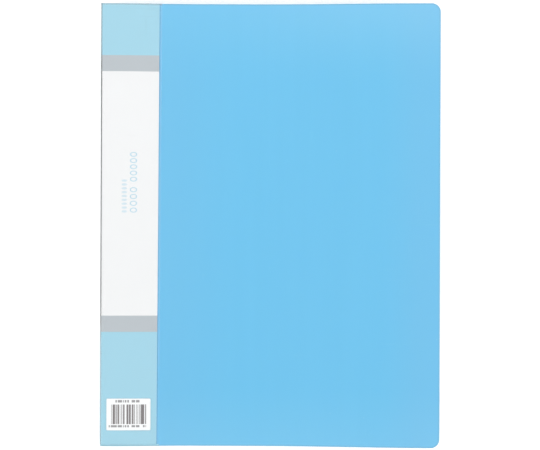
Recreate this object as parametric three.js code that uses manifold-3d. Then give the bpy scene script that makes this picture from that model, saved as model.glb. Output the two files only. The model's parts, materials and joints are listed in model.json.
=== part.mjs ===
import * as THREE from 'three';
import { mergeVertices } from 'three/addons/utils/BufferGeometryUtils.js';
import Module from 'manifold-3d';

// A display book: an A4 cover of flexible plastic sheet that opens on two folds beside its spine,
// with forty clear pockets welded to the spine and a paper label in a clear sleeve round it.
// Millimetres. The book lies closed on its back cover: +X runs from spine to fore edge, +Y up the
// page and +Z out of the front cover. The origin is under the middle of the cover.

const wasm = await Module();
wasm.setup();

// Cover sheet
const BOOK_WIDTH = 235; // outer face of the spine to the fore edge
const BOOK_HEIGHT = 307;
const SHEET = 0.8;
const SPINE_SPAN = 24; // inner face of one cover to that of the other, at the folds
const CORNER_RADIUS = 6; // at the fore edge
const CREASE_DEPTH = 0.35; // pressed into the inside of each fold
const HINGE_GAP = 0.05; // each panel stops this short of its fold's axis

// Height of the front cover over its length, as it relaxes towards the pockets
const DIP_START = 5; // from the spine's outer face
const DIP_LENGTH = 60;
const DIP = 3;
const RISE_START = 106;
const FORE_EDGE_RISE = 7.7; // of the fore edge over the bottom of the dip
const BACK_STEP_START = 43;
const BACK_STEP_LENGTH = 12; // over which the back cover comes down to what the book lies on
const PROFILE_STEPS = 12; // along each bend of a cover

// Clear sleeve and the paper label in it
const SLEEVE_FILM = 0.15;
const LABEL_PAPER = 0.15;
const SLIP = 0.1; // between label and film, and between label and cover
const LABEL_REACH = 40.2; // of the label onto each cover, from the spine's outer face
const SEAM_WIDTH = 1.4; // weld line along the sleeve's edge
const SLEEVE_END_WELD = 1; // weld line that closes the sleeve's bottom end
const LABEL_END_GAP = 0.3; // label's edges to the sleeve's welds and to its open end
const WELD_GAP = 0.05; // left between welded faces, which stay separate solids

// Sticker on the sleeve
const STICKER_WIDTH = 30.4;
const STICKER_HEIGHT = 22;
const STICKER_PAPER = 0.1;
const STICKER_FROM_SPINE = 4.8;
const STICKER_FROM_BOTTOM = 11;

// Pockets
const POCKETS_PER_COVER = 20; // as many turn with each cover
const POCKET_HEIGHT = 303;
const POCKET_MARGIN = 12; // plain film between the spine and each pocket
const FORE_EDGE_OVERHANG = 3; // of the cover past the pockets
const POCKET_WALL = 0.06;
const POCKET_MOUTH = 0.08;
const SIDE_SEAM = 2.5;
const BOTTOM_SEAM = 3;
const POCKET_CLEARANCE = 0.55; // middle of an outermost pocket to the cover beside it
const MARGIN_FILM = 0.12;
const MARGIN_GAP = 0.1; // margin film to pocket, along the page
const COMB_BACK = 0.3; // where the margins of one half fuse together
const WELD_BAR = 1; // strip that carries the pockets on the spine
const WELD_BAR_INSET = 0.3; // from the covers

// Faces that the pieces share
const BOTTOM_END = -BOOK_HEIGHT / 2;
const TOP_END = BOOK_HEIGHT / 2;
const SPINE_X = -BOOK_WIDTH / 2;
const LAYERS = SHEET + LABEL_PAPER + SLEEVE_FILM + 2 * SLIP;
const HINGE_X = SPINE_X + LAYERS;
const BACK_HINGE_Z = LAYERS;
const FRONT_HINGE_Z = BACK_HINGE_Z + SPINE_SPAN;
const FORE_EDGE_X = SPINE_X + BOOK_WIDTH;
const LABEL_INNER = SHEET + SLIP; // radii about a fold's axis
const LABEL_OUTER = LABEL_INNER + LABEL_PAPER;
const SLEEVE_INNER = LABEL_OUTER + SLIP;
const SLEEVE_OUTER = LAYERS;
const PANEL_START = LAYERS + HINGE_GAP; // of whatever lies on a cover, from the spine's outer face
const LABEL_BOTTOM = BOTTOM_END + SLEEVE_END_WELD + LABEL_END_GAP;
const LABEL_TOP = TOP_END - LABEL_END_GAP;
const POCKET_THICKNESS = 2 * POCKET_WALL + POCKET_MOUTH;
const POCKET_START_X = HINGE_X + POCKET_MARGIN;
const POCKET_END_X = FORE_EDGE_X - FORE_EDGE_OVERHANG;
const WELD_BAR_X = HINGE_X + WELD_GAP;
const COMB_X = WELD_BAR_X + WELD_BAR + WELD_GAP;
const LOWEST_POCKET_Z = BACK_HINGE_Z + POCKET_CLEARANCE;
const HIGHEST_POCKET_Z = FRONT_HINGE_Z - DIP - POCKET_CLEARANCE;
const POCKET_COUNT = 2 * POCKETS_PER_COVER;
const POCKET_PITCH = (HIGHEST_POCKET_Z - LOWEST_POCKET_Z) / (POCKET_COUNT - 1);
const COMB_EDGE = POCKET_PITCH / 2 - WELD_GAP; // fused back past its outermost margins' middles

// Colours from the photograph
const coverPlastic = () =>
  new THREE.MeshStandardMaterial({ color: 0x76c7f0, roughness: 0.5, metalness: 0 });
const clearFilm = () =>
  new THREE.MeshStandardMaterial({
    color: 0xe6f4fa, roughness: 0.2, metalness: 0, transparent: true, opacity: 0.35,
  });
const labelPaper = () =>
  new THREE.MeshStandardMaterial({ color: 0xf4f8f7, roughness: 0.6, metalness: 0 });
const stickerPaper = () =>
  new THREE.MeshStandardMaterial({ color: 0xfcfcfc, roughness: 0.7, metalness: 0 });

const group = new THREE.Group();

const addMesh = (name, geometry, material, parent = group) => {
  const mesh = new THREE.Mesh(geometry, material);
  mesh.name = name;
  parent.add(mesh);
  return mesh;
};

const boxBetween = (low, high) =>
  new THREE.BoxGeometry(high[0] - low[0], high[1] - low[1], high[2] - low[2]).translate(
    (low[0] + high[0]) / 2, (low[1] + high[1]) / 2, (low[2] + high[2]) / 2);

const toSolid = (geometry) => {
  const bare = geometry.clone();
  bare.deleteAttribute('normal');
  bare.deleteAttribute('uv');
  const merged = mergeVertices(bare);
  return new wasm.Manifold(new wasm.Mesh({
    numProp: 3,
    vertProperties: new Float32Array(merged.attributes.position.array),
    triVerts: new Uint32Array(merged.index.array),
  }));
};

const toGeometry = (solid) => {
  const mesh = solid.getMesh();
  const geometry = new THREE.BufferGeometry();
  geometry.setAttribute('position', new THREE.BufferAttribute(mesh.vertProperties, 3));
  geometry.setIndex(new THREE.BufferAttribute(mesh.triVerts, 1));
  geometry.computeVertexNormals();
  return geometry;
};

// A section drawn in X and Z, carried up the page from one height to another.
const carriedUpPage = (section, from, to) =>
  new THREE.ExtrudeGeometry(section, { depth: to - from, bevelEnabled: false, curveSegments: 6 })
    .rotateX(Math.PI / 2)
    .translate(0, to, 0);

// Rises from 0 to 1 with level ends.
const ease = (t) => {
  const s = Math.min(Math.max(t, 0), 1);
  return s * s * (3 - 2 * s);
};

// Each cover's fold, the way it faces, and the height of its inner face over the fold's axis by the
// distance from the spine's outer face, with the bends between which it is level.
const frontSide = {
  hingeZ: FRONT_HINGE_Z,
  outward: 1,
  innerFace: (distance) =>
    -DIP * ease((distance - DIP_START) / DIP_LENGTH) +
    FORE_EDGE_RISE * ease((distance - RISE_START) / (BOOK_WIDTH - RISE_START)),
  bends: [[DIP_START, DIP_START + DIP_LENGTH], [RISE_START, BOOK_WIDTH]],
};
const backSide = {
  hingeZ: BACK_HINGE_Z,
  outward: -1,
  innerFace: (distance) =>
    (SHEET - LAYERS) * ease((distance - BACK_STEP_START) / BACK_STEP_LENGTH),
  bends: [[BACK_STEP_START, BACK_STEP_START + BACK_STEP_LENGTH]],
};

// Distances at which a section is drawn: its two ends and the steps of the bends between them.
const sectionDistances = (bends, from, to) => {
  const distances = [from];
  for (const [start, end] of bends) {
    for (let i = 0; i <= PROFILE_STEPS; i++) {
      const distance = start + ((end - start) * i) / PROFILE_STEPS;
      if (distance > from && distance < to) distances.push(distance);
    }
  }
  return [...distances, to];
};

// A layer that follows a cover from one distance to another, between two heights over the cover's
// inner face, carried up the page from one height to another.
const layerGeometry = (side, [from, to], [low, high], [bottom, top]) => {
  const line = sectionDistances(side.bends, from, to).map(
    (d) => new THREE.Vector2(SPINE_X + d, side.hingeZ + side.innerFace(d)));
  const movedOut = (height) => line.map((point, i) => {
    const before = line[Math.max(i - 1, 0)];
    const after = line[Math.min(i + 1, line.length - 1)];
    const atEnd = i === 0 || i === line.length - 1;
    const along = atEnd ? new THREE.Vector2(1, 0) : after.clone().sub(before).normalize();
    return new THREE.Vector2(
      point.x - side.outward * along.y * height, point.y + side.outward * along.x * height);
  });
  const section = new THREE.Shape([...movedOut(low), ...movedOut(high).reverse()]);
  return carriedUpPage(section, bottom, top);
};

// One cover: its sheet, cut to the outline with round corners at the fore edge.
const coverGeometry = (side) => {
  const sheet = toSolid(
    layerGeometry(side, [PANEL_START, BOOK_WIDTH], [0, SHEET], [BOTTOM_END, TOP_END]));
  const outline = new THREE.Shape();
  const cornerX = FORE_EDGE_X - CORNER_RADIUS;
  const cornerY = TOP_END - CORNER_RADIUS;
  outline.moveTo(SPINE_X, TOP_END);
  outline.lineTo(SPINE_X, BOTTOM_END);
  outline.absarc(cornerX, -cornerY, CORNER_RADIUS, -Math.PI / 2, 0, false);
  outline.absarc(cornerX, cornerY, CORNER_RADIUS, 0, Math.PI / 2, false);
  const reach = BOOK_WIDTH; // tall enough to take in any bend
  const cutter = toSolid(
    new THREE.ExtrudeGeometry(outline, { depth: 2 * reach, bevelEnabled: false, curveSegments: 8 })
      .translate(0, 0, side.hingeZ - reach));
  return toGeometry(sheet.intersect(cutter));
};

// A strip bent a quarter turn round a fold's axis, its two edges just short of the panels.
const foldGeometry = (innerRadius, outerRadius, hingeZ, outward, from, to) => {
  const trim = (radius) => Math.asin(HINGE_GAP / radius);
  const ring = new THREE.Shape();
  const middle = Math.PI * (outward > 0 ? 0.75 : 1.25);
  const quarter = Math.PI / 4;
  ring.absarc(HINGE_X, hingeZ, outerRadius,
    middle - quarter + trim(outerRadius), middle + quarter - trim(outerRadius), false);
  ring.absarc(HINGE_X, hingeZ, innerRadius,
    middle + quarter - trim(innerRadius), middle - quarter + trim(innerRadius), true);
  return carriedUpPage(ring, from, to);
};

// Film of the sleeve on one cover, with the weld along its edge and the weld at its bottom end. The
// welds reach up into the film's thickness.
const coverSleeveGeometry = (side) => {
  const end = LABEL_REACH + SEAM_WIDTH;
  const weld = [SHEET + WELD_GAP, SLEEVE_INNER + SLEEVE_FILM / 2];
  const upPage = [BOTTOM_END, TOP_END];
  const film = layerGeometry(side, [PANEL_START, end], [SLEEVE_INNER, SLEEVE_OUTER], upPage);
  const seam = layerGeometry(side, [LABEL_REACH, end], weld, upPage);
  const endWeld = layerGeometry(
    side, [PANEL_START, end], weld, [BOTTOM_END, BOTTOM_END + SLEEVE_END_WELD]);
  return toGeometry(toSolid(film).add(toSolid(seam)).add(toSolid(endWeld)));
};

const spineSleeveGeometry = () => {
  const low = BACK_HINGE_Z + HINGE_GAP;
  const high = FRONT_HINGE_Z - HINGE_GAP;
  const film = toSolid(boxBetween(
    [HINGE_X - SLEEVE_OUTER, BOTTOM_END, low], [HINGE_X - SLEEVE_INNER, TOP_END, high]));
  const endWeld = toSolid(boxBetween(
    [HINGE_X - SLEEVE_OUTER, BOTTOM_END, low],
    [HINGE_X - SHEET - WELD_GAP, BOTTOM_END + SLEEVE_END_WELD, high]));
  return toGeometry(film.add(endWeld));
};

// One pocket: two films joined along three edges, open at the top of the page.
const pocketGeometry = () => {
  const halfHeight = POCKET_HEIGHT / 2;
  const pouch = toSolid(boxBetween(
    [POCKET_START_X, -halfHeight, -POCKET_THICKNESS / 2],
    [POCKET_END_X, halfHeight, POCKET_THICKNESS / 2]));
  const mouth = toSolid(boxBetween(
    [POCKET_START_X + SIDE_SEAM, -halfHeight + BOTTOM_SEAM, -POCKET_MOUTH / 2],
    [POCKET_END_X - SIDE_SEAM, halfHeight + BOTTOM_SEAM, POCKET_MOUTH / 2]));
  return toGeometry(pouch.subtract(mouth));
};

const pocketZ = (index) => LOWEST_POCKET_Z + index * POCKET_PITCH;

// Margins of one half of the pockets: one film towards each pocket, fused at the spine.
const marginsGeometry = (first, last) => {
  const half = MARGIN_FILM / 2;
  const tip = POCKET_START_X - MARGIN_GAP;
  const root = COMB_X + COMB_BACK;
  const comb = new THREE.Shape();
  comb.moveTo(COMB_X, pocketZ(first) - COMB_EDGE);
  comb.lineTo(root, pocketZ(first) - COMB_EDGE);
  for (let i = first; i <= last; i++) {
    comb.lineTo(root, pocketZ(i) - half);
    comb.lineTo(tip, pocketZ(i) - half);
    comb.lineTo(tip, pocketZ(i) + half);
    comb.lineTo(root, pocketZ(i) + half);
  }
  comb.lineTo(root, pocketZ(last) + COMB_EDGE);
  comb.lineTo(COMB_X, pocketZ(last) + COMB_EDGE);
  return carriedUpPage(comb, -POCKET_HEIGHT / 2, POCKET_HEIGHT / 2);
};

// Cover
addMesh('back_cover', coverGeometry(backSide), coverPlastic());
addMesh('front_cover', coverGeometry(frontSide), coverPlastic());
addMesh('spine_panel', boxBetween(
  [HINGE_X - SHEET, BOTTOM_END, BACK_HINGE_Z + HINGE_GAP],
  [HINGE_X, TOP_END, FRONT_HINGE_Z - HINGE_GAP]), coverPlastic());

// Folds of cover, label and sleeve, and the label and sleeve on each cover
for (const [name, side] of [['back', backSide], ['front', frontSide]]) {
  const along = (inner, outer, from, to) =>
    foldGeometry(inner, outer, side.hingeZ, side.outward, from, to);
  addMesh(`cover_fold_${name}`, along(CREASE_DEPTH, SHEET, BOTTOM_END, TOP_END), coverPlastic());
  addMesh(`label_fold_${name}`,
    along(LABEL_INNER, LABEL_OUTER, LABEL_BOTTOM, LABEL_TOP), labelPaper());
  addMesh(`sleeve_fold_${name}`,
    along(SLEEVE_INNER, SLEEVE_OUTER, BOTTOM_END, TOP_END), clearFilm());
  addMesh(`label_${name}`, layerGeometry(side, [PANEL_START, LABEL_REACH - LABEL_END_GAP],
    [LABEL_INNER, LABEL_OUTER], [LABEL_BOTTOM, LABEL_TOP]), labelPaper());
  addMesh(`sleeve_${name}`, coverSleeveGeometry(side), clearFilm());
}

// Label and sleeve on the spine
addMesh('label_spine', boxBetween(
  [HINGE_X - LABEL_OUTER, LABEL_BOTTOM, BACK_HINGE_Z + HINGE_GAP],
  [HINGE_X - LABEL_INNER, LABEL_TOP, FRONT_HINGE_Z - HINGE_GAP]), labelPaper());
addMesh('sleeve_spine', spineSleeveGeometry(), clearFilm());

// Sticker
const stickerFoot = SLEEVE_OUTER + WELD_GAP;
const stickerBottom = BOTTOM_END + STICKER_FROM_BOTTOM;
addMesh('barcode_sticker', layerGeometry(
  frontSide, [STICKER_FROM_SPINE, STICKER_FROM_SPINE + STICKER_WIDTH],
  [stickerFoot, stickerFoot + STICKER_PAPER],
  [stickerBottom, stickerBottom + STICKER_HEIGHT]), stickerPaper());

// Pockets on their strip
addMesh('pocket_weld_bar', boxBetween(
  [WELD_BAR_X, -POCKET_HEIGHT / 2, BACK_HINGE_Z + WELD_BAR_INSET],
  [WELD_BAR_X + WELD_BAR, POCKET_HEIGHT / 2, FRONT_HINGE_Z - WELD_BAR_INSET]), clearFilm());
addMesh('lower_pocket_margins', marginsGeometry(0, POCKETS_PER_COVER - 1), clearFilm());
addMesh('upper_pocket_margins', marginsGeometry(POCKETS_PER_COVER, POCKET_COUNT - 1),
  clearFilm());
for (let i = 0; i < POCKET_COUNT; i++) {
  const pocket = addMesh(
    `pocket_${String(i + 1).padStart(2, '0')}`, pocketGeometry(), clearFilm());
  pocket.position.z = pocketZ(i);
}

export default group;
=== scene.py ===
"""An A4 display book: a sky-blue plastic cover with two folds beside its spine, a printed label in a
clear sleeve round the spine, and forty clear pockets. It lies closed on its back cover, +X towards
the fore edge, +Y up the page and +Z out of the front cover. Metres."""

import json
import math

import bpy
import numpy as np
from mathutils import Matrix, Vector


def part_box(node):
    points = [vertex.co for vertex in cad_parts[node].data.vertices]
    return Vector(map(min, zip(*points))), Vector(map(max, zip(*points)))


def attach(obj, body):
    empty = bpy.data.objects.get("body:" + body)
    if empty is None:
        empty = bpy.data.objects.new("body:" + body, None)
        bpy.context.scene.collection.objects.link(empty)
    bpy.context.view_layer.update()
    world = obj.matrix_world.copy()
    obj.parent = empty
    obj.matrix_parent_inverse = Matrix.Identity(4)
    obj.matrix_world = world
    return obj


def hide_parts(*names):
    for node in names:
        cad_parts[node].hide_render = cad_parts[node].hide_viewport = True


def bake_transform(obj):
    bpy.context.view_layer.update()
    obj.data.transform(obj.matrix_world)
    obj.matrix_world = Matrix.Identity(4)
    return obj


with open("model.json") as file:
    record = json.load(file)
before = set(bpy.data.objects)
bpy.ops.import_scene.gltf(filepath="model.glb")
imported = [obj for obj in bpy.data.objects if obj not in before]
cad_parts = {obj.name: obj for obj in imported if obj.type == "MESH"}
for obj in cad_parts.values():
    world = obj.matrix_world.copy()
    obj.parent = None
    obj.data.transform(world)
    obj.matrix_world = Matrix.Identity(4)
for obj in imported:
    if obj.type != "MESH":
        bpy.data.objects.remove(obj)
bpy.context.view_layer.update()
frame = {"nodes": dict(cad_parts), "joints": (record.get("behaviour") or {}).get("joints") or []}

MM = 0.001

# Places that come from the frame
joints = {joint["name"]: joint for joint in frame["joints"]}
HINGE_X, _, BACK_Z = joints["back_hinge"]["pos_m"]
FRONT_Z = joints["front_hinge"]["pos_m"][2]
SPINE_MIDDLE_Z = (BACK_Z + FRONT_Z) / 2
COVER_LOW, COVER_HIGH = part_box("front_cover")
SPINE_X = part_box("sleeve_spine")[0].x
FORE_EDGE_X = COVER_HIGH.x
BOTTOM_Y, TOP_Y = COVER_LOW.y, COVER_HIGH.y
LABEL_LOW, LABEL_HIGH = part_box("label_front")
SLEEVE_EDGE_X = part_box("sleeve_front")[1].x
STICKER_LOW, STICKER_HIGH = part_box("barcode_sticker")
COMB_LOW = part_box("lower_pocket_margins")[0]
BOOK_WIDTH = FORE_EDGE_X - SPINE_X

# Heights of the layers over the cover's inner face
SHEET = 0.8 * MM
CREASE = 0.35 * MM  # pressed into the inside of each fold
LABEL_UNDER, LABEL_OVER = 0.9 * MM, 1.05 * MM
SLEEVE_UNDER, SLEEVE_OVER = 1.15 * MM, 1.3 * MM
WELD_UNDER = 0.83 * MM
STICKER_LIFT, STICKER_THICKNESS = 0.05 * MM, 0.1 * MM

# Label, sleeve and sticker
SLEEVE_END_WELD = 1.0 * MM
SLEEVE_STEP = 0.5 * MM  # over which the film comes down to its welds
STEP_GAP = 0.1 * MM  # from the label's far edge to that step
LABEL_LEAN = 0.65 * MM  # of the front label's far edge, outwards at the top and inwards at the bottom
STICKER_CORNER, STICKER_CORNER_LIFT = 0.8 * MM, 0.08 * MM

# The covers' relaxed shapes, by distance from the spine's outer face
DIP_START, DIP_LENGTH, DIP = 5 * MM, 60 * MM, 3 * MM
RISE_START, RISE = 106 * MM, 7.7 * MM
BACK_STEP_START, BACK_STEP_LENGTH, BACK_STEP = 43 * MM, 12 * MM, 0.5 * MM
CORNER_RADIUS = 6 * MM

# Pockets
POCKET_COUNT = 40
SIDE_SEAM, BOTTOM_SEAM = 2.5 * MM, 3 * MM
SEAM_EDGE = 0.2 * MM  # over which the film turns milky
COMB_BACK = 0.3 * MM  # where the margins of the pockets fuse together
MARGIN_HALF_FILM = 0.06 * MM
FILM_LIP = 0.07 * MM  # film's thickness, at a pocket's mouth
PUFF = 0.03 * MM  # by which a pocket's films stand apart between its welds
PUFF_EASE = 6 * MM  # from a weld
WAVE_EASE = 60 * MM  # from the spine to where a pocket's waves are full
LOOSE_EDGE, LOOSE_SHIFT = 0.7 * MM, 0.4 * MM  # of a pocket's far edge, and of its place up the page

rng = np.random.default_rng(40)


# Curves and surfaces


def ease(t):
    """Rises from 0 to 1 with level ends: 3 s^2 - 2 s^3, with s = t held between 0 and 1."""
    s = np.clip(t, 0, 1)
    return s * s * (3 - 2 * s)


def front_face(distance):
    """Height of the front cover's inner face over its fold: down by the dip, then up to the fore
    edge."""
    down = -DIP * ease((distance - DIP_START) / DIP_LENGTH)
    return down + RISE * ease((distance - RISE_START) / (BOOK_WIDTH - RISE_START))


def back_face(distance):
    """Height of the back cover's inner face over its fold: level, then down onto the table."""
    return -BACK_STEP * ease((distance - BACK_STEP_START) / BACK_STEP_LENGTH)


class BookPath:
    """The line of one cover's inner face, from the middle of the spine round the fold and out towards
    the fore edge, with its outward normals and the distance along it. side is 1 for the front cover
    and -1 for the back. At the fold the point stays and the normal turns by a quarter."""

    TO_FOLD = np.array([9, 5, 2.4, 1.2, 0.6, 0.25]) * MM
    FOLD_STEPS = 9
    LAYER_RADIUS = 1 * MM  # at the fold, of the layer whose length the distance follows

    def __init__(self, side, face, distances):
        self.side = side
        fold_z = FRONT_Z if side > 0 else BACK_Z
        spine_z = np.r_[SPINE_MIDDLE_Z, fold_z - side * self.TO_FOLD]
        turn = np.linspace(0, math.pi / 2, self.FOLD_STEPS)
        x = SPINE_X + distances
        slope = np.gradient(face(distances), x)
        level = np.sqrt(1 + slope**2)
        self.x = np.r_[np.full(len(spine_z) + len(turn), HINGE_X), x]
        self.z = np.r_[spine_z, np.full(len(turn), fold_z), fold_z + face(distances)]
        self.normal_x = np.r_[np.full(len(spine_z), -1.0), -np.cos(turn), -side * slope / level]
        self.normal_z = np.r_[np.zeros(len(spine_z)), side * np.sin(turn), side / level]
        self.fold = np.r_[np.zeros(len(spine_z)), np.sin(2 * turn), np.zeros(len(x))]
        travel = np.hypot(np.diff(self.x), np.diff(self.z))
        travel += self.LAYER_RADIUS * np.hypot(np.diff(self.normal_x), np.diff(self.normal_z))
        self.along = np.r_[0, np.cumsum(travel)]

    def layer(self, height, y):
        """Grid of points, stations by rows: path point + height x outward normal, at each y."""
        x = self.x[:, None] + height * self.normal_x[:, None]
        z = self.z[:, None] + height * self.normal_z[:, None]
        return np.stack(np.broadcast_arrays(x, y, z), axis=-1)

    def unrolled(self, y):
        """Grid of flat coordinates: distance along the path, and y."""
        return np.stack(np.broadcast_arrays(self.along[:, None], y), axis=-1)


def grid_quads(number):
    """Quads between neighbouring columns and rows of a grid of point numbers."""
    a, b, c, d = number[:-1, :-1], number[1:, :-1], number[1:, 1:], number[:-1, 1:]
    return np.stack([a, b, c, d], axis=-1).reshape(-1, 4)


SMOOTH_UNDER = math.radians(40)  # between two faces


def make_piece(name, points, quads, flat, materials, edge_quads=0):
    """A mesh object at the origin, with its place in its points and flat coordinates as its UV map.
    The last edge_quads of its quads get the last material."""
    mesh = bpy.data.meshes.new(name)
    mesh.from_pydata(points.tolist(), [], quads.tolist())
    uv = mesh.uv_layers.new(name="flat")
    corners = np.zeros(len(mesh.loops), np.int32)
    mesh.loops.foreach_get("vertex_index", corners)
    uv.data.foreach_set("uv", flat[corners].astype(np.float32).ravel())
    mesh.polygons.foreach_set("use_smooth", np.ones(len(mesh.polygons), bool))
    mesh.set_sharp_from_angle(angle=SMOOTH_UNDER)
    for material in materials:
        mesh.materials.append(material)
    if edge_quads:
        is_edge = np.arange(len(quads)) >= len(quads) - edge_quads
        mesh.polygons.foreach_set("material_index", is_edge.astype(np.int32) * (len(materials) - 1))
    mesh.update()
    piece = bpy.data.objects.new(name, mesh)
    bpy.context.scene.collection.objects.link(piece)
    return piece


def mark_points(piece, name, values):
    """A value of its own for each of the piece's points, for its material to read."""
    attribute = piece.data.attributes.new(name, "FLOAT", "POINT")
    every = np.broadcast_to(values, len(piece.data.vertices))
    attribute.data.foreach_set("value", every.astype(np.float32))


def sheet_piece(name, over, under, flat, *materials, side=1, open_sides=(), lip=0):
    """A sheet between two grids of points, over outside and under inside, with a wall at each side of
    the grid that open_sides doesn't name. An open top has a lip for each grid: the film's thickness.
    The walls and lips get the last material."""
    number = np.arange(over.shape[0] * over.shape[1]).reshape(over.shape[:2])
    count = number.size
    rims = {"bottom": number[:, 0], "end": number[-1, :],
            "top": number[::-1, -1], "start": number[0, ::-1]}
    walls = [
        np.stack([rim[:-1], rim[:-1] + count, rim[1:] + count, rim[1:]], axis=-1)
        for name_of_side, rim in rims.items() if name_of_side not in open_sides]
    points = [over.reshape(-1, 3), under.reshape(-1, 3)]
    flat_points = [flat.reshape(-1, 2)] * 2
    if lip:
        for grid, first, inwards in ((over, 0, -lip), (under, count, lip)):
            rim = number[:, -1] + first
            inner = sum(map(len, points)) + np.arange(len(rim))
            points.append(grid[:, -1] + np.array([0, 0, inwards]))
            flat_points.append(flat[:, -1])
            strip = np.stack([rim[:-1], inner[:-1], inner[1:], rim[1:]], axis=-1)
            walls.append(strip[:, ::-1] if first == 0 else strip)
    faces = [grid_quads(number), grid_quads(number)[:, ::-1] + count]
    quads = np.vstack([*faces, *walls])
    if side < 0:
        quads = quads[:, ::-1]
    edge_quads = sum(map(len, walls))
    return make_piece(name, np.vstack(points), quads, np.vstack(flat_points), materials, edge_quads)


def round_rim(piece, width):
    """Rounds the edges where a sheet's faces meet its walls."""
    bevel = piece.modifiers.new("rim", "BEVEL")
    bevel.width = width
    bevel.segments = 2
    bevel.limit_method = "ANGLE"
    bevel.angle_limit = math.radians(60)
    bevel.harden_normals = True


# Shader nodes


def add_node(tree, kind, inputs=None, **settings):
    """A node with its settings, and inputs by name or number, each a value or another node's socket."""
    made = tree.nodes.new("ShaderNode" + kind)
    for key, value in settings.items():
        setattr(made, key, value)
    for key, value in (inputs or {}).items():
        if isinstance(value, bpy.types.NodeSocket):
            tree.links.new(value, made.inputs[key])
        else:
            made.inputs[key].default_value = value
    return made


def maths(tree, operation, *values):
    """One Math node's result from values or sockets."""
    return add_node(tree, "Math", dict(enumerate(values)), operation=operation).outputs[0]


def mixed(tree, factor, first, second):
    """Colour between first and second, each a socket or red, green and blue."""
    first, second = (
        value if isinstance(value, bpy.types.NodeSocket) else (*value, 1) for value in (first, second))
    names = {"Factor": factor, 6: first, 7: second}
    return add_node(tree, "Mix", names, data_type="RGBA").outputs[2]


def ramp(tree, value, low, high, to_low=0.0, to_high=1.0, smooth=True):
    """value from low to high becomes to_low to to_high, held beyond them."""
    kind = "SMOOTHSTEP" if smooth else "LINEAR"
    names = {"Value": value, "From Min": low, "From Max": high, "To Min": to_low, "To Max": to_high}
    return add_node(tree, "MapRange", names, interpolation_type=kind).outputs[0]


def fade(tree, mask, at_zero, at_one):
    """Straight from at_zero to at_one while mask goes from 0 to 1."""
    return ramp(tree, mask, 0, 1, at_zero, at_one, smooth=False)


def spread(tree, cloud, at_low=0.0, at_high=1.0, smooth=True):
    """A noise's usual span, spread from at_low to at_high."""
    return ramp(tree, cloud, 0.3, 0.7, at_low, at_high, smooth)


def band(tree, value, low, high, soft=0.3 * MM):
    """1 where value is between low and high, with soft edges."""
    up = ramp(tree, value, low - soft / 2, low + soft / 2)
    return maths(tree, "MULTIPLY", up, ramp(tree, value, high - soft / 2, high + soft / 2, 1, 0))


def noise(tree, vector, scale, detail=2.0, roughness=0.5):
    """Noise around 0.5, with scale cells to the metre."""
    names = {"Vector": vector, "Scale": scale, "Detail": detail, "Roughness": roughness}
    return add_node(tree, "TexNoise", names).outputs["Fac"]


def long_noise(tree, vector, scales, detail=2.0):
    """Noise around 0.5, with a number of cells to the metre for each axis."""
    place = add_node(tree, "Mapping", {"Vector": vector, "Scale": scales}).outputs["Vector"]
    return noise(tree, place, 1, detail)


def srgb(red, green, blue):
    """Linear colour of an 8-bit screen colour."""
    c = np.array([red, green, blue]) / 255
    return tuple(np.where(c <= 0.04045, c / 12.92, ((c + 0.055) / 1.055) ** 2.4).tolist())


def new_group(name, inputs, outputs):
    """An empty node group with float or vector sockets, and its input and output nodes."""
    group = bpy.data.node_groups.new(name, "ShaderNodeTree")
    for direction, sockets in (("INPUT", inputs), ("OUTPUT", outputs)):
        for socket, value in sockets.items():
            kind = "NodeSocketVector" if value is None else "NodeSocketFloat"
            made = group.interface.new_socket(socket, in_out=direction, socket_type=kind)
            if value is not None:
                made.default_value = value
    return group, group.nodes.new("NodeGroupInput").outputs, group.nodes.new("NodeGroupOutput").inputs


def use_group(tree, group, inputs):
    """The outputs of a node group with its inputs set or linked."""
    return add_node(tree, "Group", inputs, node_tree=group).outputs


# Cells of noise to the metre, along all axes or along each
RUBS_ACROSS, RUBS_ALONG, RUB_PATCHES = (30, 900, 30), (1100, 26, 30), 16
DUST_CELLS = 260.0
COVER_STREAKS = (90, 5, 90)
FILM_WAVES, POCKET_WAVES = (60, 8, 60), 14
EDGE_CHANGES = (18, 18, 1)
LABEL_FIBRE, STICKER_FIBRE = 900, 1100
WELD_CLOUD, FLOOR_CLOUD = 60, 3


def make_grain_group():
    """Fine moulded grain with a slow waviness under it: a height to bump with."""
    group, given, out = new_group(
        "fine_grain", {"Place": None, "Grain": 2500.0, "Waviness": 12.0, "Wave Height": 3.0},
        {"Height": 0.0})
    fine = noise(group, given["Place"], given["Grain"], detail=1)
    slow = noise(group, given["Place"], given["Waviness"], roughness=0.4)
    height = maths(group, "MULTIPLY_ADD", slow, given["Wave Height"], fine)
    group.links.new(height, out["Height"])
    return group


def make_rubs_group():
    """Faint hairline rubs: long thin noise in two directions, kept where a patchy noise is high."""
    group, given, out = new_group("hairline_rubs", {"Place": None, "Amount": 0.5}, {"Mask": 0.0})
    across = long_noise(group, given["Place"], RUBS_ACROSS)
    along = long_noise(group, given["Place"], RUBS_ALONG)
    lines = maths(group, "MAXIMUM", ramp(group, across, 0.66, 0.74), ramp(group, along, 0.67, 0.75))
    patches = ramp(group, noise(group, given["Place"], RUB_PATCHES), 0.45, 0.7)
    mask = maths(group, "MULTIPLY", maths(group, "MULTIPLY", lines, patches), given["Amount"])
    group.links.new(mask, out["Mask"])
    return group


def make_dust_group():
    """Scattered specks of dust: small cells whose middle is near, few of them kept."""
    group, given, out = new_group("dust_specks", {"Place": None, "Density": 0.04}, {"Mask": 0.0})
    cells = add_node(group, "TexVoronoi", {"Vector": given["Place"], "Scale": DUST_CELLS})
    near = ramp(group, cells.outputs["Distance"], 0.02, 0.07, 1, 0)
    chosen = add_node(group, "SeparateColor", {"Color": cells.outputs["Color"]}).outputs[0]
    kept = maths(group, "LESS_THAN", chosen, given["Density"])
    group.links.new(maths(group, "MULTIPLY", near, kept), out["Mask"])
    return group


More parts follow.
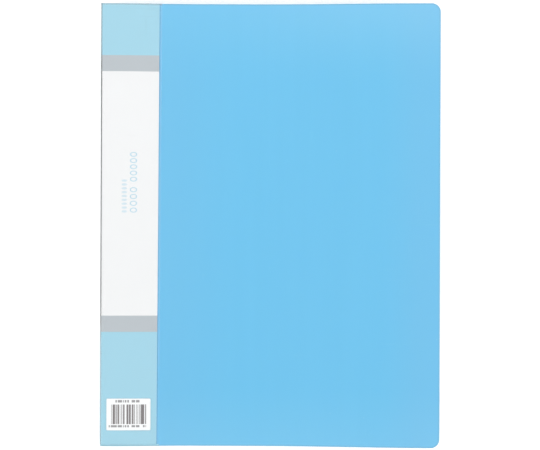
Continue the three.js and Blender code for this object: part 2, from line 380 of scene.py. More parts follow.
def make_rim_group():
    """1 at a sheet's outline and 0 further in than Width. The outline runs to Length and to Half Height
    either way in flat coordinates, and its far corners are round. With q, how far a point lies past the
    centre of the nearest corner's arc along each axis, it is Corner - |q| from the outline."""
    group, given, out = new_group(
        "sheet_rim",
        {"Flat": None, "Length": 0.25, "Half Height": 0.15, "Corner": 0.006, "Width": 0.001},
        {"Mask": 0.0})
    flat = add_node(group, "SeparateXYZ", {"Vector": given["Flat"]}).outputs
    arc_x = maths(group, "SUBTRACT", given["Length"], given["Corner"])
    arc_y = maths(group, "SUBTRACT", given["Half Height"], given["Corner"])
    past_x = maths(group, "MAXIMUM", maths(group, "SUBTRACT", flat["X"], arc_x), 0.0)
    past_y = maths(group, "SUBTRACT", maths(group, "ABSOLUTE", flat["Y"]), arc_y)
    past = add_node(group, "CombineXYZ", {"X": past_x, "Y": maths(group, "MAXIMUM", past_y, 0.0)})
    reach = add_node(group, "VectorMath", {0: past.outputs[0]}, operation="LENGTH").outputs["Value"]
    inwards = maths(group, "SUBTRACT", given["Corner"], reach)
    group.links.new(ramp(group, inwards, 0, given["Width"], 1, 0), out["Mask"])
    return group


GRAIN = make_grain_group()
RUBS = make_rubs_group()
DUST = make_dust_group()
RIM = make_rim_group()


def new_material(name, **sockets):
    """A material, its tree and its shader's inputs, with the plain values set on those inputs."""
    material = bpy.data.materials.new(name)
    material.use_nodes = True
    tree = material.node_tree
    shader = tree.nodes["Principled BSDF"]
    for socket, value in sockets.items():
        shader.inputs[socket.replace("_", " ")].default_value = value
    return material, tree, shader.inputs


def object_place(tree):
    """Object coordinates: metres in the frame that all pieces share."""
    return add_node(tree, "TexCoord").outputs["Object"]


def flat_place(tree):
    """The sheet's own coordinates, laid flat, in metres."""
    return add_node(tree, "UVMap", uv_map="flat").outputs["UV"]


def bump(tree, height, distance, strength=1.0, under=None):
    """The surface's normal, tilted by a height, over another bump's normal if under gives one."""
    names = {"Height": height, "Distance": distance, "Strength": strength}
    if under is not None:
        names["Normal"] = under
    return add_node(tree, "Bump", names).outputs["Normal"]


# Materials

# Flat coordinates, from the middle of the spine: the fold's end, the fore edge, the label's far edge,
# and where the spine's outer face would be if the cover ran on level over it
FLAT_AT_FOLD = BookPath(1, front_face, np.array([10.0, 20.0]) * MM).along[-3]
FLAT_LENGTH = BookPath(1, front_face, np.linspace(10 * MM, BOOK_WIDTH, 60)).along[-1]
FLAT_AT_LABEL_EDGE = FLAT_AT_FOLD + LABEL_HIGH.x - HINGE_X
FLAT_AT_SPINE_FACE = FLAT_AT_FOLD + SPINE_X - HINGE_X

COVER_BLUE = srgb(110, 194, 235)
COVER_BLUE_DEEP = srgb(109, 193, 234)
COVER_DULL = srgb(114, 192, 232)
# The next three tones are painted: light near the cover's ends, shade along its outline, and a glow for
# its inner face.
COVER_PAINTED_LIGHT = srgb(149, 208, 237)
COVER_RIM_SHADE = srgb(122, 178, 209)
COVER_PAINTED_GLOW = (0.16, 0.52, 0.85)
RUB_PALE = srgb(190, 226, 245)
DUST_PALE = srgb(226, 234, 238)
LABEL_BLUE = srgb(157, 211, 229)
LABEL_GREY = srgb(184, 191, 196)
LABEL_WHITE = srgb(241, 241, 241)
MARK_BLUE = srgb(153, 205, 226)
PAPER_FIBRE = srgb(214, 222, 228)
SLEEVE_TINT, POCKET_TINT = (0.93, 0.97, 0.99), (0.9, 0.94, 0.97)
# Sleeve: painted shade beside the label; the end weld painted lighter against the shade on its slope,
# with painted shade along its edge; a greyer mouth; painted shade on the folds, by the label's blue and
# by its white.
SLEEVE_STEP_SHADE = srgb(128, 194, 230)
SLEEVE_END, SLEEVE_END_EDGE_SHADE = srgb(176, 234, 254), srgb(147, 193, 208)
SLEEVE_MOUTH = srgb(190, 212, 216)
FOLD_SHADE_BY_BLUE, FOLD_SHADE_BY_WHITE = srgb(114, 150, 163), srgb(128, 131, 133)
STICKER_WHITE = srgb(247, 249, 250)
BAR_GREY, PRINT_GREY = srgb(132, 128, 129), srgb(160, 160, 161)
EDGE_GREY, EDGE_PALE = srgb(178, 200, 214), srgb(246, 250, 252)
WELD_MILKY, WELD_PALE = srgb(212, 230, 240), srgb(226, 238, 244)

PLASTIC_IOR, PAPER_IOR = 1.49, 1.5

# Where the cover's tone changes along the flat sheet: from, to, and its least and most
DULL_BY_LABEL = (115 * MM, 55 * MM, 0, 0.8)
DULL_BY_FORE_EDGE = (FLAT_LENGTH - 45 * MM, FLAT_LENGTH - 5 * MM, 0, 1.2)
# Painted light: the cover is painted paler near its top and bottom ends, most at the top away from the
# label.
PAINTED_LIGHT_BY_TOP = (TOP_Y - 60 * MM, TOP_Y + 20 * MM)
PAINTED_LIGHT_BY_BOTTOM = (BOTTOM_Y + 40 * MM, BOTTOM_Y - 40 * MM)
PAINTED_LIGHT_TOP_FROM_LABEL = (90 * MM, 190 * MM, 0.55, 1)
PAINTED_LIGHT_SHARE = 0.38  # the most that shows of the painted light near the ends
# Width of the painted shade along the cover's outline.
RIM_SHADE_WIDTH = 1.6 * MM

# Where the label's colours change: distance down from the book's top
WHITE_SPAN = (47.15 * MM, 216.55 * MM)
GREY_SPAN = (36.0 * MM, 227.8 * MM)


def make_cover_plastic():
    """Satin translucent sheet: fine grain, slow streaks of tone and hairline rubs. It is duller towards
    the label and the fore edge, darker along its outline with painted shade, and paler near its ends
    with painted light, as if light came through there. Its inner face has a faint painted glow."""
    material, tree, shader = new_material(
        "cover_plastic", IOR=PLASTIC_IOR, Specular_IOR_Level=0.5, Subsurface_Weight=0.12,
        Subsurface_Radius=(0.6 * MM, 0.9 * MM, 1.2 * MM), Subsurface_Scale=1.0, Emission_Strength=0.2)
    place = object_place(tree)
    flat = flat_place(tree)
    flat_xy = add_node(tree, "SeparateXYZ", {"Vector": flat}).outputs
    # Painted shade along the cover's outline, where its rounded edges turn away from the light.
    rim = use_group(tree, RIM, {
        "Flat": flat, "Length": FLAT_LENGTH, "Half Height": TOP_Y, "Corner": CORNER_RADIUS,
        "Width": RIM_SHADE_WIDTH})["Mask"]
    rubs = use_group(tree, RUBS, {"Place": place, "Amount": 0.5})["Mask"]
    dust = use_group(tree, DUST, {"Place": place, "Density": 0.02})["Mask"]
    streaks = long_noise(tree, place, COVER_STREAKS, detail=3)
    tone = mixed(tree, spread(tree, streaks), COVER_BLUE, COVER_BLUE_DEEP)
    near_label = ramp(tree, flat_xy["X"], *DULL_BY_LABEL)
    near_fore_edge = ramp(tree, flat_xy["X"], *DULL_BY_FORE_EDGE)
    top_painted_light = ramp(tree, flat_xy["Y"], *PAINTED_LIGHT_BY_TOP)
    near_label = maths(tree, "MULTIPLY", near_label, maths(tree, "SUBTRACT", 1.0, top_painted_light))
    tone = mixed(tree, maths(tree, "MAXIMUM", near_label, near_fore_edge), tone, COVER_DULL)
    # Painted light near the top and bottom ends, stronger at the top away from the label.
    bottom_painted_light = ramp(tree, flat_xy["Y"], *PAINTED_LIGHT_BY_BOTTOM, smooth=False)
    top_painted_light = maths(tree, "MULTIPLY", top_painted_light, ramp(tree, flat_xy["X"], *PAINTED_LIGHT_TOP_FROM_LABEL))
    painted_light = maths(tree, "MULTIPLY", maths(tree, "MAXIMUM", top_painted_light, bottom_painted_light), PAINTED_LIGHT_SHARE)
    tone = mixed(tree, painted_light, tone, COVER_PAINTED_LIGHT)
    # Faint rubs and dust, and the painted shade along the outline.
    marks = ((rubs, 0.08, RUB_PALE), (dust, 0.5, DUST_PALE), (rim, 0.7, COVER_RIM_SHADE))
    for mask, share, colour in marks:
        tone = mixed(tree, maths(tree, "MULTIPLY", mask, share), tone, colour)
    tree.links.new(tone, shader["Base Color"])
    # Painted glow: the inner face gives off a faint blue light, standing in for light that comes
    # through the sheet.
    inside = add_node(tree, "Attribute", attribute_name="inside").outputs["Fac"]
    tree.links.new(mixed(tree, inside, (0, 0, 0), COVER_PAINTED_GLOW), shader["Emission Color"])
    tree.links.new(fade(tree, rubs, 0.4, 0.32), shader["Roughness"])
    grain = use_group(
        tree, GRAIN, {"Place": place, "Grain": 2600.0, "Waviness": 9.0, "Wave Height": 20.0})
    tree.links.new(bump(tree, grain["Height"], distance=0.012 * MM, strength=0.6), shader["Normal"])
    return material


def edge_on_opacity(tree, clear, hazy):
    """Opacity of a clear film: clear where it is seen square on, towards hazy where seen edge on."""
    facing = add_node(tree, "LayerWeight", {"Blend": 0.35}).outputs["Facing"]
    return fade(tree, maths(tree, "POWER", facing, 2.5), clear, hazy)


def weld_dots(tree, flat, pitch):
    """Rows of small pressed dots, as a welding tool leaves them: 1 between the dots, 0 in them."""
    cells = add_node(tree, "TexVoronoi", {"Vector": flat, "Scale": 1 / pitch, "Randomness": 0.0})
    return ramp(tree, cells.outputs["Distance"], 0.18, 0.4)


# Marks of the sleeve's film in flat coordinates: from and to, then how soft a band's edges are, or
# the values that a fade goes between
# Painted shade: a thin darker line beside the label's far edge, where the film steps down onto the
# cover.
STEP_SHADE_BAND = (FLAT_AT_LABEL_EDGE + STEP_GAP, FLAT_AT_LABEL_EDGE + 0.75 * MM, 0.2 * MM)
SEAM_START = (FLAT_AT_LABEL_EDGE + STEP_GAP, FLAT_AT_LABEL_EDGE + 0.4 * MM)
END_WELD_FADE = (BOTTOM_Y + SLEEVE_END_WELD, BOTTOM_Y + SLEEVE_END_WELD + 0.45 * MM)
# Painted shade along the bottom edge of the end weld.
END_EDGE_SHADE_FADE = (BOTTOM_Y + 0.5 * MM, BOTTOM_Y + 0.9 * MM)
MOUTH_RIM = (TOP_Y - 1.5 * MM, TOP_Y - 0.2 * MM)
# Painted shade on the fold round the spine, where the film turns away from the light; weaker towards
# the bottom and the top.
FOLD_SHADE_BAND = (FLAT_AT_FOLD - 1.3 * MM, FLAT_AT_FOLD - 0.25 * MM, 0.6 * MM)
FOLD_SHADE_FADE_BELOW = (-88 * MM, -50 * MM, 0.5, 1)
FOLD_SHADE_FADE_ABOVE = (100 * MM, 130 * MM, 1, 0.65)


def make_sleeve_film():
    """Clear glossy film, pressed and dotted where it is welded, with painted shade along its folds and
    a thin line of painted shade beside the label. Its lower end is a milky weld, painted lighter
    against the shade on its slope, with painted shade along its bottom edge; it is greyer and hazier at
    its mouth."""
    material, tree, shader = new_material("sleeve_film", IOR=PLASTIC_IOR, Metallic=0.08)
    place = object_place(tree)
    flat = flat_place(tree)
    flat_xy = add_node(tree, "SeparateXYZ", {"Vector": flat}).outputs
    step_shade = band(tree, flat_xy["X"], *STEP_SHADE_BAND)
    seam = ramp(tree, flat_xy["X"], *SEAM_START)
    end = ramp(tree, flat_xy["Y"], *END_WELD_FADE, 1, 0)
    end_edge_shade = ramp(tree, flat_xy["Y"], *END_EDGE_SHADE_FADE, 1, 0)
    mouth = ramp(tree, flat_xy["Y"], *MOUTH_RIM)
    # Painted shade on the fold, greyer beside the label's white and bluer beside its blue.
    fold_shade = band(tree, flat_xy["X"], *FOLD_SHADE_BAND)
    fold_shade = maths(tree, "MULTIPLY", fold_shade, ramp(tree, flat_xy["Y"], *FOLD_SHADE_FADE_BELOW))
    fold_shade = maths(tree, "MULTIPLY", fold_shade, ramp(tree, flat_xy["Y"], *FOLD_SHADE_FADE_ABOVE))
    beside_white = band(tree, flat_xy["Y"], TOP_Y - GREY_SPAN[1], TOP_Y - GREY_SPAN[0], 1 * MM)
    rubs = use_group(tree, RUBS, {"Place": place, "Amount": 0.7})["Mask"]
    # Tint with painted shade beside the label, the end weld and its edge, a greyer mouth, and painted
    # shade on the folds.
    tone = mixed(tree, step_shade, SLEEVE_TINT, SLEEVE_STEP_SHADE)
    # The milky end weld, painted lighter against the shade on its slope, with painted shade along its
    # bottom edge.
    tone = mixed(tree, end, tone, mixed(tree, end_edge_shade, SLEEVE_END, SLEEVE_END_EDGE_SHADE))
    tone = mixed(tree, mouth, tone, SLEEVE_MOUTH)
    tone = mixed(tree, fold_shade, tone, mixed(tree, beside_white, FOLD_SHADE_BY_BLUE, FOLD_SHADE_BY_WHITE))
    tree.links.new(tone, shader["Base Color"])
    clear = edge_on_opacity(tree, clear=0.06, hazy=0.8)
    for mask, haze in ((rubs, 0.05), (step_shade, 0.08), (end, 0.8), (mouth, 0.3), (fold_shade, 0.5)):
        clear = maths(tree, "MULTIPLY_ADD", mask, haze, clear)
    tree.links.new(clear, shader["Alpha"])
    weld = maths(tree, "MAXIMUM", seam, end)
    tree.links.new(fade(tree, weld, 0.2, 0.4), shader["Roughness"])
    waves = bump(tree, long_noise(tree, place, FILM_WAVES), distance=0.25 * MM, strength=0.5)
    pressed = maths(tree, "MULTIPLY", weld, weld_dots(tree, flat, pitch=0.45 * MM))
    tree.links.new(bump(tree, pressed, distance=0.05 * MM, strength=0.7, under=waves), shader["Normal"])
    return material


def ring_row(tree, across, down, row):
    """The ink in a row of oval marks down the page: rings, or discs where the stroke reaches the
    middle. squash is an oval's length down the page over its width. row gives metres from the spine's
    outer face and from the top."""
    step = maths(tree, "DIVIDE", maths(tree, "SUBTRACT", down, row["start"]), row["pitch"])
    dy = maths(tree, "MULTIPLY", maths(tree, "SUBTRACT", maths(tree, "FRACT", step), 0.5), row["pitch"])
    dx = maths(tree, "MULTIPLY", maths(tree, "SUBTRACT", across, row["across"]), row["squash"])
    distance = maths(tree, "SQRT", maths(
        tree, "ADD", maths(tree, "MULTIPLY", dx, dx), maths(tree, "MULTIPLY", dy, dy)))
    inner = row["radius"] - row["stroke"]
    marks = maths(tree, "MULTIPLY", band(tree, distance, inner, row["radius"], 0.12 * MM), row["ink"])
    end = row["start"] + row["count"] * row["pitch"]
    return maths(tree, "MULTIPLY", marks, band(tree, down, row["start"], end, 0.02 * MM))


RING_ROWS = [
    {"across": 22.9 * MM, "start": 102.6 * MM, "pitch": 4.3 * MM, "count": 5, "radius": 1.65 * MM,
     "squash": 0.66, "stroke": 0.55 * MM, "ink": 0.75},
    {"across": 22.9 * MM, "start": 126.9 * MM, "pitch": 4.7 * MM, "count": 4, "radius": 1.75 * MM,
     "squash": 0.7, "stroke": 0.55 * MM, "ink": 0.75},
    {"across": 16.6 * MM, "start": 121.6 * MM, "pitch": 2.67 * MM, "count": 9, "radius": 0.8 * MM,
     "squash": 0.42, "stroke": 1.6 * MM, "ink": 0.42},
]


def make_label_paper(name, has_marks):
    """Printed paper: light-blue ends, two grey bands and a white middle, with two columns of pale
    rings and dots on the front."""
    material, tree, shader = new_material(name, IOR=PAPER_IOR, Specular_IOR_Level=0.3)
    flat = add_node(tree, "SeparateXYZ", {"Vector": flat_place(tree)}).outputs
    down = maths(tree, "SUBTRACT", TOP_Y, flat["Y"])
    white = band(tree, down, *WHITE_SPAN)
    grey = band(tree, down, *GREY_SPAN)
    tone = mixed(tree, grey, LABEL_BLUE, LABEL_GREY)
    tone = mixed(tree, white, tone, LABEL_WHITE)
    if has_marks:
        across = maths(tree, "SUBTRACT", flat["X"], FLAT_AT_SPINE_FACE)
        for row in RING_ROWS:
            tone = mixed(tree, ring_row(tree, across, down, row), tone, MARK_BLUE)
    fibre = noise(tree, object_place(tree), LABEL_FIBRE, detail=4, roughness=0.65)
    tone = mixed(tree, spread(tree, fibre, 0, 0.05), tone, PAPER_FIBRE)
    tree.links.new(tone, shader["Base Color"])
    tree.links.new(spread(tree, fibre, 0.5, 0.62, smooth=False), shader["Roughness"])
    tree.links.new(bump(tree, fibre, distance=0.01 * MM, strength=0.5), shader["Normal"])
    return material


def random_columns(tree, value, width):
    """A random number from 0 to 1 for each column of the width."""
    column = maths(tree, "FLOOR", maths(tree, "DIVIDE", value, width))
    return add_node(tree, "TexWhiteNoise", {"W": column}, noise_dimensions="1D").outputs["Value"]


# Print on the sticker: spans along and up from its lower corner by the spine
BARS_X, BARS_Y = (3.3 * MM, 27.6 * MM), (4.3 * MM, 17.9 * MM)
UPPER_BLOCKS_X, UPPER_BLOCKS_Y = (6.2 * MM, 25.1 * MM), (19.3 * MM, 21.0 * MM)
LOWER_BLOCKS_X, LOWER_BLOCKS_Y = (1.6 * MM, 27.4 * MM), (2.1 * MM, 3.6 * MM)
BAR_WIDTH, BAR_GROUP_WIDTH, BLOCK_WIDTH = 0.33 * MM, 2.3 * MM, 0.6 * MM
BAR_EDGE = 0.05 * MM


def rectangle(tree, flat, across, up, *soft):
    """1 inside a rectangle of flat coordinates, 0 outside."""
    beside = band(tree, flat["X"], *across, *soft)
    return maths(tree, "MULTIPLY", beside, band(tree, flat["Y"], *up, *soft))


def make_sticker_paper():
    """Matt white paper with plain grey bars, and a row of short grey blocks over and under them. Bars
    stand where a narrow column's random number is over a bound that changes from group to group."""
    material, tree, shader = new_material("sticker_paper", IOR=PAPER_IOR, Specular_IOR_Level=0.25)
    flat = add_node(tree, "SeparateXYZ", {"Vector": flat_place(tree)}).outputs
    narrow = random_columns(tree, flat["X"], BAR_WIDTH)
    wide = random_columns(tree, flat["X"], BAR_GROUP_WIDTH)
    bars = maths(tree, "GREATER_THAN", narrow, fade(tree, wide, 0.62, 0.18))
    bars = maths(tree, "MULTIPLY", bars, rectangle(tree, flat, BARS_X, BARS_Y, BAR_EDGE))
    blocks = maths(tree, "GREATER_THAN", random_columns(tree, flat["X"], BLOCK_WIDTH), 0.3)
    upper = rectangle(tree, flat, UPPER_BLOCKS_X, UPPER_BLOCKS_Y)
    lower = rectangle(tree, flat, LOWER_BLOCKS_X, LOWER_BLOCKS_Y)
    blocks = maths(tree, "MULTIPLY", blocks, maths(tree, "MAXIMUM", upper, lower))
    tone = mixed(tree, bars, STICKER_WHITE, BAR_GREY)
    tone = mixed(tree, blocks, tone, PRINT_GREY)
    tree.links.new(tone, shader["Base Color"])
    fibre = noise(tree, object_place(tree), STICKER_FIBRE, detail=3, roughness=0.6)
    tree.links.new(spread(tree, fibre, 0.55, 0.7, smooth=False), shader["Roughness"])
    tree.links.new(bump(tree, fibre, distance=0.01 * MM, strength=0.4), shader["Normal"])
    return material


def make_pocket_film():
    """Thin clear film with a slight haze and slow ripples, milky and dotted where it is welded."""
    material, tree, shader = new_material("pocket_film", IOR=PLASTIC_IOR, Base_Color=(*POCKET_TINT, 1))
    flat = flat_place(tree)
    flat_xy = add_node(tree, "SeparateXYZ", {"Vector": flat}).outputs
    low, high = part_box("pocket_01")
    far_start, low_start = high.x - SIDE_SEAM, low.y + BOTTOM_SEAM
    near_seam = band(tree, flat_xy["X"], low.x, low.x + SIDE_SEAM, SEAM_EDGE)
    far_seam = ramp(tree, flat_xy["X"], far_start, far_start + SEAM_EDGE)
    low_seam = ramp(tree, flat_xy["Y"], low_start, low_start + SEAM_EDGE, 1, 0)
    past_margin = ramp(tree, flat_xy["X"], low.x - SEAM_EDGE, low.x)
    weld = maths(tree, "MAXIMUM", near_seam, maths(tree, "MAXIMUM", far_seam, low_seam))
    weld = maths(tree, "MULTIPLY", weld, past_margin)
    clear = edge_on_opacity(tree, clear=0.035, hazy=0.38)
    tree.links.new(maths(tree, "MULTIPLY_ADD", weld, 0.06, clear), shader["Alpha"])
    tree.links.new(fade(tree, weld, 0.2, 0.45), shader["Roughness"])
    pressed = maths(tree, "MULTIPLY", weld, weld_dots(tree, flat, pitch=0.6 * MM))
    waves = noise(tree, object_place(tree), POCKET_WAVES, detail=1)
    height = maths(tree, "MULTIPLY_ADD", pressed, 0.04, waves)
    tree.links.new(bump(tree, height, distance=1.2 * MM, strength=0.35), shader["Normal"])
    return material


def make_pocket_edge():
    """Cut and welded edges of the pockets: milky, with each pocket lighter or darker by its own tone
    and faint changes along its length."""
    material, tree, shader = new_material("pocket_edge", IOR=PLASTIC_IOR, Roughness=0.35, Alpha=0.92)
    own = add_node(tree, "Attribute", attribute_name="sheet_tone").outputs["Fac"]
    along = spread(tree, long_noise(tree, flat_place(tree), EDGE_CHANGES))
    light = maths(tree, "MULTIPLY_ADD", along, 0.3, maths(tree, "MULTIPLY", own, 0.7))
    tree.links.new(mixed(tree, light, EDGE_GREY, EDGE_PALE), shader["Base Color"])
    return material


def make_welded_strip():
    """Milky plastic strip pressed full of weld dots."""
    material, tree, shader = new_material("welded_strip", IOR=PLASTIC_IOR)
    place = object_place(tree)
    cloud = noise(tree, place, WELD_CLOUD, detail=3)
    tree.links.new(mixed(tree, spread(tree, cloud), WELD_MILKY, WELD_PALE), shader["Base Color"])
    tree.links.new(spread(tree, cloud, 0.32, 0.5, smooth=False), shader["Roughness"])
    dots = weld_dots(tree, place, pitch=1.2 * MM)
    tree.links.new(bump(tree, dots, distance=0.12 * MM, strength=0.8), shader["Normal"])
    return material


COVER_PLASTIC = make_cover_plastic()
SLEEVE_FILM = make_sleeve_film()
FRONT_LABEL_PAPER = make_label_paper("front_label_paper", True)
BACK_LABEL_PAPER = make_label_paper("back_label_paper", False)
STICKER_PAPER = make_sticker_paper()
POCKET_FILM = make_pocket_film()
POCKET_EDGE = make_pocket_edge()
WELDED_STRIP = make_welded_strip()


# Cover, label and sleeve

SIDES = {  # side, face, fold's height, and the two bodies at the fold, of the cover and of the label
    "front": (1, front_face, FRONT_Z, ("spine", "front"), ("label", "label_front_flap")),
    "back": (-1, back_face, BACK_Z, ("spine", "back"), ("label", "label_back_flap")),
}


def bend_at_fold(piece):
    """Bakes the piece's place into its points; it follows no body at the fold."""
    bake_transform(piece)


def steps(*spans):
    """Distances in metres through (from, to, count) spans in millimetres, each once and in order."""
    parts = [np.linspace(low, high, count) for low, high, count in spans]
    return np.unique(np.round(np.concatenate(parts), 6)) * MM


def cover_distances():
    """Stations across a cover: close at the fold and the bends, by equal turns round the corner."""
    width, radius = BOOK_WIDTH / MM, CORNER_RADIUS / MM
    flat = steps((1.5, 4, 4), (5, 65, 31), (70, 105, 8), (110, width - radius, 30))
    corner = width - radius + radius * np.sin(np.linspace(0, math.pi / 2, 11)[1:])
    return np.r_[flat, corner * MM]


def half_height(distance):
    """Half of the cover's height: full, and round the corners of the fore edge a quarter circle."""
    beyond = np.clip(distance - (BOOK_WIDTH - CORNER_RADIUS), 0, CORNER_RADIUS)
    return TOP_Y - CORNER_RADIUS + np.sqrt(CORNER_RADIUS**2 - beyond**2)


def make_cover(name, side, face):
    """One cover with its fold and half of the spine, SHEET thick and thinner inside the fold."""
    path = BookPath(side, face, cover_distances())
    rows = np.linspace(-1, 1, 25)
    y = half_height(np.maximum(path.x - SPINE_X, 0))[:, None] * rows
    over = path.layer(SHEET, y)
    under = path.layer(CREASE * path.fold[:, None], y)
    piece = sheet_piece(f"cover_{name}", over, under, path.unrolled(y), COVER_PLASTIC, side=side)
    mark_points(piece, "inside", np.repeat([0, 1], y.size))
    round_rim(piece, 0.2 * MM)
    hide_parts(f"{name}_cover", f"cover_fold_{name}", "spine_panel")
    bend_at_fold(piece)


def lean(points, path, y, side):
    """Leans the far edge of the front's label and sleeve by LABEL_LEAN, more the further out."""
    if side > 0:
        width = LABEL_HIGH.x - SPINE_X
        reach = ease((path.x[:, None] - SPINE_X - 0.5 * width) / (0.45 * width))
        points[..., 0] += LABEL_LEAN * reach * y / TOP_Y
    return points


def make_label(name, side, face):
    """One half of the label's paper, from the middle of the spine to its far edge on the cover."""
    label_width = (LABEL_HIGH.x - SPINE_X) / MM
    path = BookPath(side, face, steps((1.5, 3, 4), (4, label_width, 14)))
    y = np.linspace(LABEL_LOW.y, LABEL_HIGH.y, 9)[None, :]
    paper = FRONT_LABEL_PAPER if name == "front" else BACK_LABEL_PAPER
    over, under = (lean(path.layer(height, y), path, y, side) for height in (LABEL_OVER, LABEL_UNDER))
    piece = sheet_piece(
        f"label_paper_{name}", over, under, path.unrolled(y), paper, side=side, open_sides=("start",))
    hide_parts(f"label_{name}", f"label_fold_{name}", "label_spine")
    bend_at_fold(piece)


def make_sleeve(name, side, face):
    """Film over the label, lowered onto the cover by ease steps at its far edge and its bottom end."""
    label_width = (LABEL_HIGH.x - SPINE_X) / MM
    film_width = (SLEEVE_EDGE_X - SPINE_X) / MM
    path = BookPath(side, face, steps(
        (1.5, 3, 4), (4, label_width - 0.5, 14), (label_width, film_width, 9)))
    y = BOTTOM_Y + np.r_[steps((0, 1, 3), (1.1, 2, 6), (6, 290, 9)), TOP_Y - BOTTOM_Y][None, :]
    past_label = ease((path.x[:, None] - LABEL_HIGH.x - STEP_GAP) / SLEEVE_STEP)
    at_end = 1 - ease((y - BOTTOM_Y - SLEEVE_END_WELD) / SLEEVE_STEP)
    low = SLEEVE_UNDER + (WELD_UNDER - SLEEVE_UNDER) * np.maximum(past_label, at_end)
    high = low + SLEEVE_OVER - SLEEVE_UNDER
    over, under = (lean(path.layer(height, y), path, y, side) for height in (high, low))
    piece = sheet_piece(
        f"sleeve_film_{name}", over, under, path.unrolled(y), SLEEVE_FILM, side=side,
        open_sides=("start",))
    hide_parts(f"sleeve_{name}", f"sleeve_fold_{name}", "sleeve_spine")
    bend_at_fold(piece)


for side_name, (side, face, fold_z, cover_bodies, label_bodies) in SIDES.items():
    make_cover(side_name, side, face)
    make_label(side_name, side, face)
    make_sleeve(side_name, side, face)


# Sticker


def make_sticker():
    """A rectangle with small round corners that follows the sleeve, lifted a little at its corners."""
    radius = STICKER_CORNER
    height = STICKER_HIGH.y - STICKER_LOW.y
    width = STICKER_HIGH.x - STICKER_LOW.x
    round_end = radius - radius * np.cos(np.linspace(0, math.pi / 2, 5))
    x = np.r_[round_end, np.linspace(0.1, 0.9, 9) * width]
    x = np.unique(np.r_[x, width - x])
    to_side = np.minimum(x, width - x)
    short = radius - np.sqrt(radius**2 - np.clip(radius - to_side, 0, radius) ** 2)
    rows = np.linspace(-1, 1, 15)
    y = height / 2 + (height / 2 - short)[:, None] * rows
    x = np.broadcast_to(x[:, None], y.shape)
    from_middle = np.hypot(x / width - 0.5, y / height - 0.5) / math.hypot(0.5, 0.5)
    lift = STICKER_CORNER_LIFT * ease((from_middle - 0.8) / 0.2)
    z = FRONT_Z + front_face(STICKER_LOW.x + x - SPINE_X) + SLEEVE_OVER + STICKER_LIFT + lift
    low = np.stack([STICKER_LOW.x + x, STICKER_LOW.y + y, z], axis=-1)
    high = low + np.array([0, 0, STICKER_THICKNESS])
    piece = sheet_piece("price_sticker", high, low, np.stack([x, y], axis=-1), STICKER_PAPER)
    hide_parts("barcode_sticker")
    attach(piece, "front")


make_sticker()


# Pockets


def ripples(number, x, y, phase):
    """Height of a pocket's slow ripples in millimetres: two that all pockets share, one that moves
    slowly from pocket to pocket, and a faint one of its own. Angles are in radians to the metre."""
    shared = 0.09 * np.sin(32 * x + 11 * y) + 0.06 * np.sin(9 * x - 27 * y + 1)
    moving = 0.16 * np.sin(0.45 * number + 7 * y)
    own = 0.025 * np.sin(26 * x + 19 * y + phase)
    return shared + moving + own


def make_pocket(number):
    """Two films from the fused margins to the fore edge: one film thick along the margin, then apart
    by the pocket's mouth, with slow ripples that neighbours share, and open at the top."""
    node = f"pocket_{number:02d}"
    low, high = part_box(node)
    middle = (low.z + high.z) / 2
    root = COMB_LOW.x + COMB_BACK
    edge, shift, tone = rng.uniform(-1, 1, 3)
    x = np.r_[np.linspace(root, low.x - 0.3 * MM, 9), low.x, low.x + SIDE_SEAM,
              np.linspace(low.x + 4 * MM, high.x - 4 * MM, 20), high.x - SIDE_SEAM,
              high.x + LOOSE_EDGE * edge]
    y = np.r_[low.y, low.y + BOTTOM_SEAM, np.linspace(low.y + 6 * MM, high.y, 12)]
    y = y + LOOSE_SHIFT * shift
    x, y = np.meshgrid(x, y, indexing="ij")
    in_pocket = ease((x - low.x - SIDE_SEAM) / PUFF_EASE) * ease((high.x - SIDE_SEAM - x) / PUFF_EASE)
    in_pocket = in_pocket * ease((y - low.y - BOTTOM_SEAM) / PUFF_EASE)
    phase = rng.uniform(0, 2 * math.pi, 2)
    puff = PUFF * (1 + np.sin(21 * x + 14 * y + phase[0]))
    half = np.where(x < low.x, MARGIN_HALF_FILM, (high.z - low.z) / 2) + in_pocket * puff
    free = ease((x - root) / WAVE_EASE)
    z = middle + free * ripples(number, x, y, phase[1]) * MM
    over, under = (np.stack([x, y, height], axis=-1) for height in (z + half, z - half))
    piece = sheet_piece(
        f"film_{node}", over, under, np.stack([x, y], axis=-1), POCKET_FILM, POCKET_EDGE,
        open_sides=("top",), lip=FILM_LIP)
    mark_points(piece, "sheet_tone", 0.5 + 0.3 * math.sin(0.9 * number) + 0.2 * tone)
    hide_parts(node)
    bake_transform(piece)


WELD_RIB, WELD_RIB_PITCH = 0.04 * MM, 1.02 * MM


def make_root_weld():
    """The fused margins: a strip along the spine with low ribs, as deep as WELD_RIB x the cosine of
    one turn for each WELD_RIB_PITCH of height."""
    low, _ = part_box("lower_pocket_margins")
    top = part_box("upper_pocket_margins")[1]
    z = np.linspace(low.z, top.z, 41)[:, None]
    y = np.linspace(low.y, top.y, 61)[None, :]
    ribs = WELD_RIB * np.cos(2 * math.pi * (z - low.z) / WELD_RIB_PITCH)
    z, y, ribs = np.broadcast_arrays(z, y, ribs)
    over = np.stack([low.x + COMB_BACK + ribs - WELD_RIB, y, z], axis=-1)
    under = np.stack([np.full(z.shape, low.x), y, z], axis=-1)
    flat = np.stack([z, y], axis=-1)
    piece = sheet_piece("pocket_root_weld", over, under, flat, WELDED_STRIP, side=-1)
    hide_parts("lower_pocket_margins", "upper_pocket_margins")
    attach(piece, "spine")


for page in range(1, POCKET_COUNT + 1):
    make_pocket(page)
make_root_weld()
bar = frame["nodes"]["pocket_weld_bar"]
bar.data.materials.clear()
bar.data.materials.append(WELDED_STRIP)


# Floor, light and camera

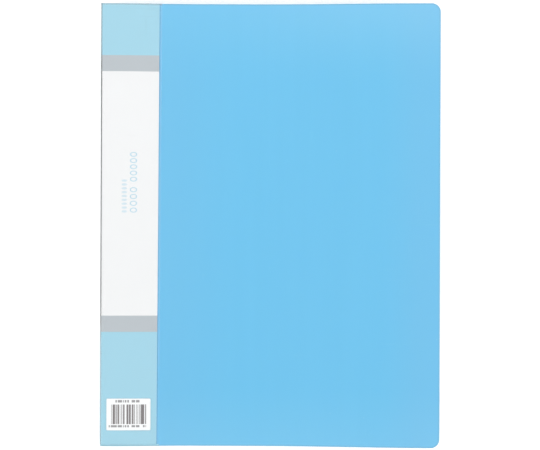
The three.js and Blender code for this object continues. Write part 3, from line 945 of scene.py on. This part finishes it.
FLOOR_REACH, FLOOR_Z = 3, -0.1 * MM
FLOOR_GLOW, WORLD_LIGHT = 0.3, 0.3
SOFTBOXES = {  # place and power
    "key": ((0.1, 1.2, 1.3), 13),
    "left_fill": ((-1.2, -0.5, 1.3), 12.8),
    "right_fill": ((1.2, -0.5, 1.3), 12.8),
}
SOFTBOX_SIZE = 1.0
FILM_LAYERS = 160  # that light may pass through: two sides of each pocket's two films

FRAME_WIDTH = 540
PIXELS_PER_METRE = 1438.6
CAMERA_DISTANCE = 1.0
CAMERA_X, CAMERA_Y = 0.15 * MM, 0.13 * MM
VALLEY_Z = FRONT_Z - DIP + SHEET
ROLL = math.radians(0.2)


def make_floor():
    """A level sheet under the book."""
    reach = np.linspace(-FLOOR_REACH, FLOOR_REACH, 7)
    x, y = np.meshgrid(reach, reach, indexing="ij")
    points = np.stack([x, y, np.full(x.shape, FLOOR_Z)], axis=-1).reshape(-1, 3)
    material, tree, shader = new_material("floor", Roughness=0.85, Specular_IOR_Level=0.2)
    cloud = spread(tree, noise(tree, object_place(tree), FLOOR_CLOUD))
    tree.links.new(mixed(tree, cloud, (0.93, 0.93, 0.93), (0.95, 0.95, 0.95)), shader["Base Color"])
    shader["Emission Color"].default_value = (1, 1, 1, 1)
    shader["Emission Strength"].default_value = FLOOR_GLOW
    quads = grid_quads(np.arange(x.size).reshape(x.shape))
    floor = make_piece("floor", points, quads, points[:, :2], [material])


def add_softbox(name, place, power):
    """A square soft light at place, turned to the origin."""
    light = bpy.data.lights.new(name, "AREA")
    light.shape = "SQUARE"
    light.size = SOFTBOX_SIZE
    light.energy = power
    lamp = bpy.data.objects.new(name, light)
    bpy.context.scene.collection.objects.link(lamp)
    back = np.array(place) / np.linalg.norm(place)
    side = np.cross([0, 1, 0], back)
    side /= np.linalg.norm(side)
    turn = np.column_stack([side, np.cross(back, side), back])
    lamp.matrix_world = Matrix.LocRotScale(place, Matrix(turn.tolist()).to_quaternion(), None)


def light_scene():
    """A weak white world and the softboxes, with colours shown as they are."""
    scene = bpy.context.scene
    world = bpy.data.worlds.new("studio")
    world.use_nodes = True
    background = world.node_tree.nodes["Background"]
    background.inputs["Color"].default_value = (1, 1, 1, 1)
    background.inputs["Strength"].default_value = WORLD_LIGHT
    scene.world = world
    for name, (place, power) in SOFTBOXES.items():
        add_softbox(name, place, power)
    scene.view_settings.view_transform = "Standard"
    scene.cycles.transparent_max_bounces = FILM_LAYERS


def add_camera():
    """Looks straight down from CAMERA_DISTANCE over the front cover's valley, where one metre spans
    PIXELS_PER_METRE: focal length / sensor width = pixels per metre x distance / frame width."""
    data = bpy.data.cameras.new("camera")
    data.sensor_width = 36
    data.lens = data.sensor_width * PIXELS_PER_METRE * CAMERA_DISTANCE / FRAME_WIDTH
    camera = bpy.data.objects.new("camera", data)
    bpy.context.scene.collection.objects.link(camera)
    camera.location = (CAMERA_X, CAMERA_Y, VALLEY_Z + CAMERA_DISTANCE)
    camera.rotation_euler = (0, 0, ROLL)
    bpy.context.scene.camera = camera


make_floor()
light_scene()
add_camera()
